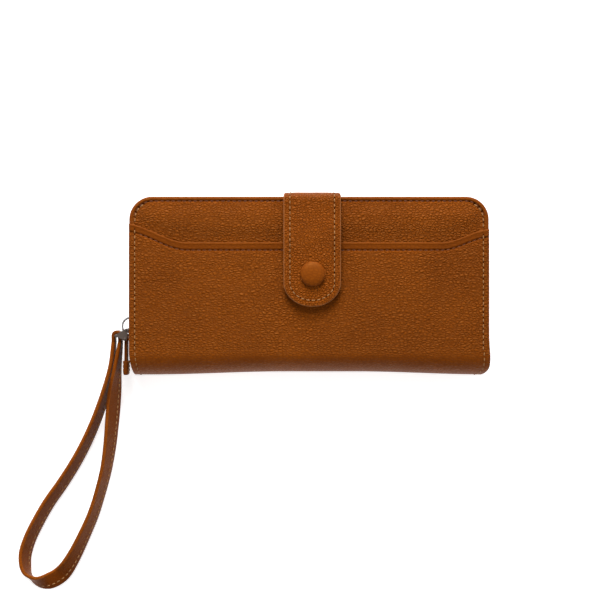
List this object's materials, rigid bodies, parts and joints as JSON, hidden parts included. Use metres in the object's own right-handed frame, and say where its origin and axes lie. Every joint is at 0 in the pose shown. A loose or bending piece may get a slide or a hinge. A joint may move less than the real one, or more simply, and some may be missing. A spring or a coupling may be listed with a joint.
{
  "type": "long wallet",
  "caption": "Zip-around long wallet with snap tab, front slip pocket, card slots, coin pocket and wrist strap.",
  "frame": {"origin": "middle of the back cover's outer face, which the wallet rests on", "axes": "+X to the right, +Y from the spine fold to the zipped edge, +Z out of the front cover"},
  "size_m": [0.256, 0.2156, 0.0336],
  "materials": {
    "tan_leather": "pebbled, satin",
    "card_leather": "smooth, satin",
    "lining_cloth": "fine weave",
    "zip_tape": "ribbed weave",
    "zip_teeth": "satin",
    "silver_metal": "polished",
    "dark_metal": "dark, polished",
    "thread": "waxed thread"
  },
  "bodies": {
    "back": {"back_cover": "tan_leather", "spine_back": "tan_leather", "back_lining": "lining_cloth", "back_card_panel_1": "card_leather", "back_card_panel_2": "card_leather", "back_card_panel_3": "card_leather", "back_zip_tape": "zip_tape", "back_zip_teeth": "zip_teeth", "tab_anchor": "tan_leather", "left_gusset_back": "lining_cloth", "right_gusset_back": "lining_cloth"},
    "coin_pocket": {"coin_pocket_back": "lining_cloth", "coin_pocket_front": "lining_cloth", "coin_pocket_edge": "lining_cloth", "coin_zip_back_tape": "zip_tape", "coin_zip_front_tape": "zip_tape", "coin_zip_back_teeth": "zip_teeth", "coin_zip_front_teeth": "zip_teeth"},
    "front_cover": {"front_cover": "tan_leather", "spine_front": "tan_leather", "slip_pocket": "tan_leather", "front_lining": "lining_cloth", "front_card_panel_1": "card_leather", "front_card_panel_2": "card_leather", "front_card_panel_3": "card_leather", "front_zip_tape": "zip_tape", "front_zip_teeth": "zip_teeth", "snap_stud": "silver_metal", "left_gusset_front": "lining_cloth", "right_gusset_front": "lining_cloth"},
    "tab_bridge": {"tab_bridge": "tan_leather"},
    "tab_shoulder": {"tab_shoulder": "tan_leather"},
    "tab_flap": {"tab_flap": "tan_leather", "snap_cap": "tan_leather", "snap_socket": "silver_metal"},
    "zip_slider": {"zip_slider": "silver_metal"},
    "strap_hanger": {"strap_hanger": "dark_metal"},
    "wrist_strap": {"wrist_strap": "tan_leather", "strap_end_loop": "tan_leather"},
    "pull_tab": {"pull_tab": "tan_leather"},
    "coin_slider": {"coin_slider": "silver_metal"},
    "coin_pull": {"coin_pull": "silver_metal"}
  },
  "joints": [
    {"name": "pocket_swing", "type": "hinge", "parent": "back", "child": "coin_pocket", "pos_m": [0, -0.0485, 0.0131], "axis": [1, 0, 0], "range_deg": [0, 13], "deforming": ["left_gusset_back", "right_gusset_back"]},
    {"name": "cover_open", "type": "hinge", "parent": "coin_pocket", "child": "front_cover", "pos_m": [0, -0.0485, 0.0131], "axis": [1, 0, 0], "range_deg": [0, 13], "deforming": ["left_gusset_front", "right_gusset_front"]},
    {"name": "tab_swing", "type": "hinge", "parent": "back", "child": "tab_bridge", "pos_m": [0.0017, 0.0506, 0], "axis": [-1, 0, 0], "range_deg": [0, 90]},
    {"name": "tab_fold", "type": "hinge", "parent": "tab_bridge", "child": "tab_shoulder", "pos_m": [0.0017, 0.04914, 0.02884], "axis": [-1, 0, 0], "range_deg": [0, 55]},
    {"name": "snap_lift", "type": "hinge", "parent": "tab_shoulder", "child": "tab_flap", "pos_m": [0.0017, 0.0376, 0.0303], "axis": [-1, 0, 0], "range_deg": [0, 35]},
    {"name": "zip_slide", "type": "slide", "parent": "back", "child": "zip_slider", "axis": [0, 1, 0], "range_m": [0, 0.052]},
    {"name": "hanger_swing", "type": "hinge", "parent": "zip_slider", "child": "strap_hanger", "pos_m": [-0.0999, -0.024, 0.0125], "axis": [0, 0, 1], "range_deg": [-30, 3]},
    {"name": "strap_swing", "type": "hinge", "parent": "strap_hanger", "child": "wrist_strap", "pos_m": [-0.1052, -0.027, 0.0125], "axis": [0, 0, 1], "range_deg": [-90, 3]},
    {"name": "pull_tab_swing", "type": "hinge", "parent": "strap_hanger", "child": "pull_tab", "pos_m": [-0.1002, -0.0288, 0.0125], "axis": [0, 0, 1], "range_deg": [-8, 1]},
    {"name": "coin_slide", "type": "slide", "parent": "coin_pocket", "child": "coin_slider", "axis": [1, 0, 0], "range_m": [-0.128, 0]},
    {"name": "coin_pull_swing", "type": "hinge", "parent": "coin_slider", "child": "coin_pull", "pos_m": [0.07, 0.0407, 0.0125], "axis": [0, 0, -1], "range_deg": [0, 12]}
  ],
  "couplings": [
    {"joint": "cover_open", "follows": "tab_swing", "ratio": 0.1444},
    {"joint": "pocket_swing", "follows": "tab_swing", "ratio": 0.1444},
    {"joint": "tab_fold", "follows": "tab_swing", "ratio": 0.611}
  ]
}
